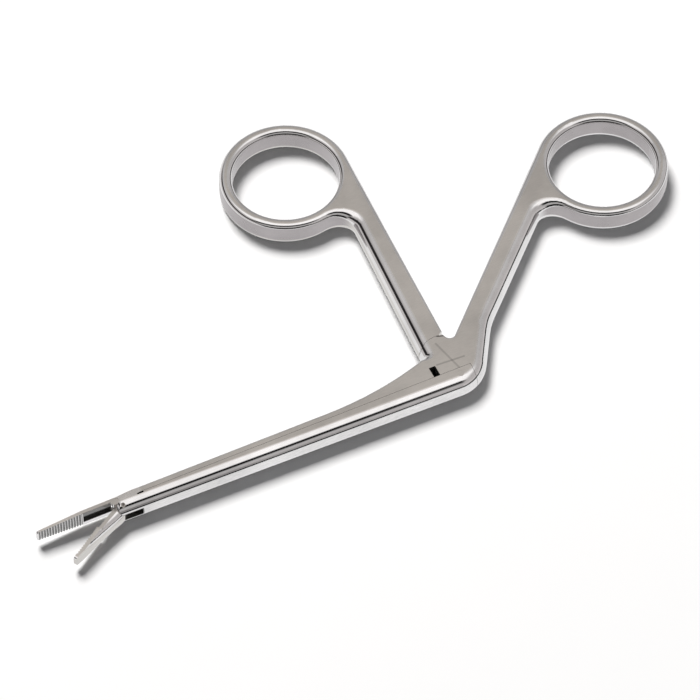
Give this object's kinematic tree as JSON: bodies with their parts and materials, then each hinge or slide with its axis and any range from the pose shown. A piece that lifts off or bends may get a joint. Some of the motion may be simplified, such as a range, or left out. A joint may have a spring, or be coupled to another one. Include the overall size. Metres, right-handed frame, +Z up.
{
  "type": "alligator ear forceps",
  "caption": "Slender hand forceps lying flat, with two finger rings, a straight sliding shaft and small toothed jaws that open at its end.",
  "frame": {"origin": "centre of the bounding box's bottom face, with the forceps lying flat on its lower face and the jaws open", "axes": "+X along the shaft from the jaws to the body, +Y across the shaft towards the finger rings, +Z up from the face it lies on"},
  "size_m": [0.1348, 0.0706, 0.0047],
  "materials": {
    "satin_steel": "satin flats with polished round edges",
    "pin_steel": "ground flush"
  },
  "bodies": {
    "fixed_side": {"fixed_half": "satin_steel", "handle_pivot_pin": "pin_steel", "jaw_pivot_pin": "pin_steel"},
    "front_grip": {"front_handle": "satin_steel"},
    "slide": {"slide_bar": "satin_steel", "drive_pin": "pin_steel", "link_pin": "pin_steel"},
    "lower_jaw": {"moving_jaw": "satin_steel"}
  },
  "joints": [
    {"name": "handle_hinge", "type": "hinge", "parent": "fixed_side", "child": "front_grip", "pos_m": [0.01141, -0.02603, 0.00235], "axis": [0, 0, -1], "range_deg": [0, 16]},
    {"name": "slide_travel", "type": "slide", "parent": "fixed_side", "child": "slide", "axis": [-1, 0, 0], "range_m": [0, 0.0009464]},
    {"name": "jaw_hinge", "type": "hinge", "parent": "fixed_side", "child": "lower_jaw", "pos_m": [-0.05254, -0.02768, 0.00235], "axis": [0, 0, -1], "range_deg": [0, 32]}
  ],
  "couplings": [
    {"joint": "slide_travel", "follows": "handle_hinge", "m_per_rad": 0.003389},
    {"joint": "jaw_hinge", "follows": "handle_hinge", "ratio": 2}
  ]
}
